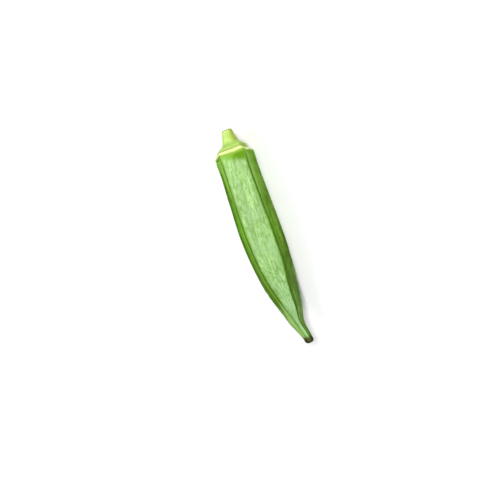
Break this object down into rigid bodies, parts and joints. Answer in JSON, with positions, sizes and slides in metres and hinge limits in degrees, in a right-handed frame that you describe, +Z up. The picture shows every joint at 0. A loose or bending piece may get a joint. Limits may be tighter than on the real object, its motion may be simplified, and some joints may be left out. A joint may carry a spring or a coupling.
{
  "type": "okra pod",
  "caption": "Fresh okra pod lying on its side, a slender ridged green capsule with a pointed tip and its cut stalk and cap.",
  "frame": {"origin": "centre of the part's box in plan, on the surface the pod lies on", "axes": "+X from the tip to the cut stalk along the pod; +Z up from the surface; the pod's gentle bow bulges to +Y"},
  "size_m": [0.11, 0.0222, 0.0195],
  "materials": {
    "pod_skin": "satin, waxy green skin with pale ridges and rim",
    "stalk_skin": "matt, pale yellow-green stalk with a cut end"
  },
  "bodies": {
    "root": {"pod": "pod_skin", "stem_cap": "stalk_skin"}
  },
  "joints": []
}
